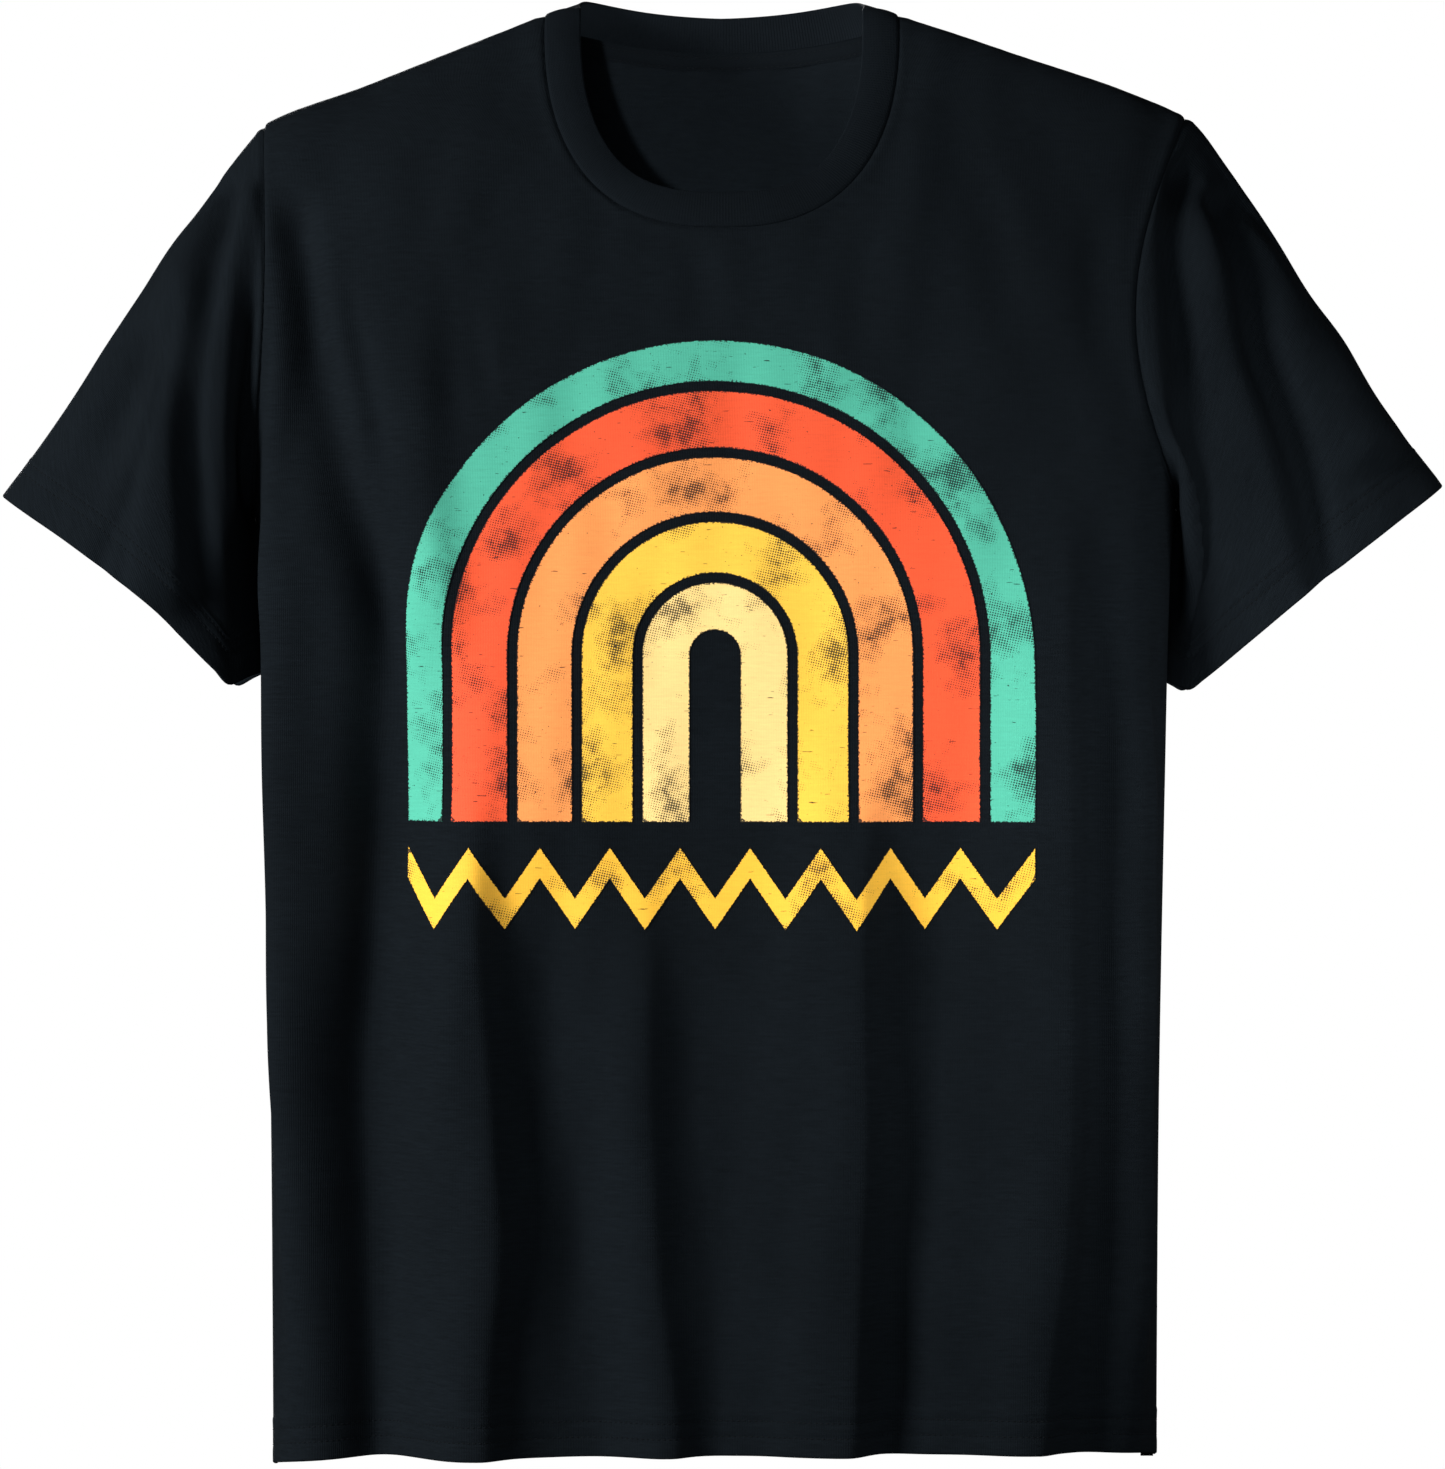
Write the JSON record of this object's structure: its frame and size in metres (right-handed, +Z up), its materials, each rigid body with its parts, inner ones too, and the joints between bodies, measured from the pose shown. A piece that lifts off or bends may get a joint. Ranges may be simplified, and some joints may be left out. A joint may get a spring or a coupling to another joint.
{
  "type": "short-sleeved crew-neck t-shirt",
  "caption": "Short-sleeved crew-neck shirt in its worn shape, with a ribbed collar, turned-up hems and a printed arch motif on the chest.",
  "frame": {"origin": "midway between the two points where a shoulder seam meets the collar, where the wearer's shoulders hold the shirt up", "axes": "+Z up, -Y out of the front of the shirt, +X to the right of a person who looks at the front"},
  "size_m": [0.753, 0.1665, 0.7698],
  "materials": {
    "jersey": "soft matt black cotton jersey",
    "rib": "matt black ribbed cotton knit",
    "teal_ink": "matt printed ink, slightly worn",
    "red_ink": "matt printed ink, slightly worn",
    "orange_ink": "matt printed ink, slightly worn",
    "yellow_ink": "matt printed ink, slightly worn",
    "cream_ink": "matt printed ink, slightly worn",
    "gold_ink": "matt printed ink, slightly worn"
  },
  "bodies": {
    "root": {"front_panel": "jersey", "back_panel": "jersey", "left_sleeve": "jersey", "right_sleeve": "jersey", "neck_rib": "rib", "neck_tape": "jersey", "bottom_hem_turn_up": "jersey", "left_cuff_turn_up": "jersey", "right_cuff_turn_up": "jersey", "print_arch_teal": "teal_ink", "print_arch_red": "red_ink", "print_arch_orange": "orange_ink", "print_arch_yellow": "yellow_ink", "print_arch_cream": "cream_ink", "print_zigzag": "gold_ink"}
  },
  "joints": []
}
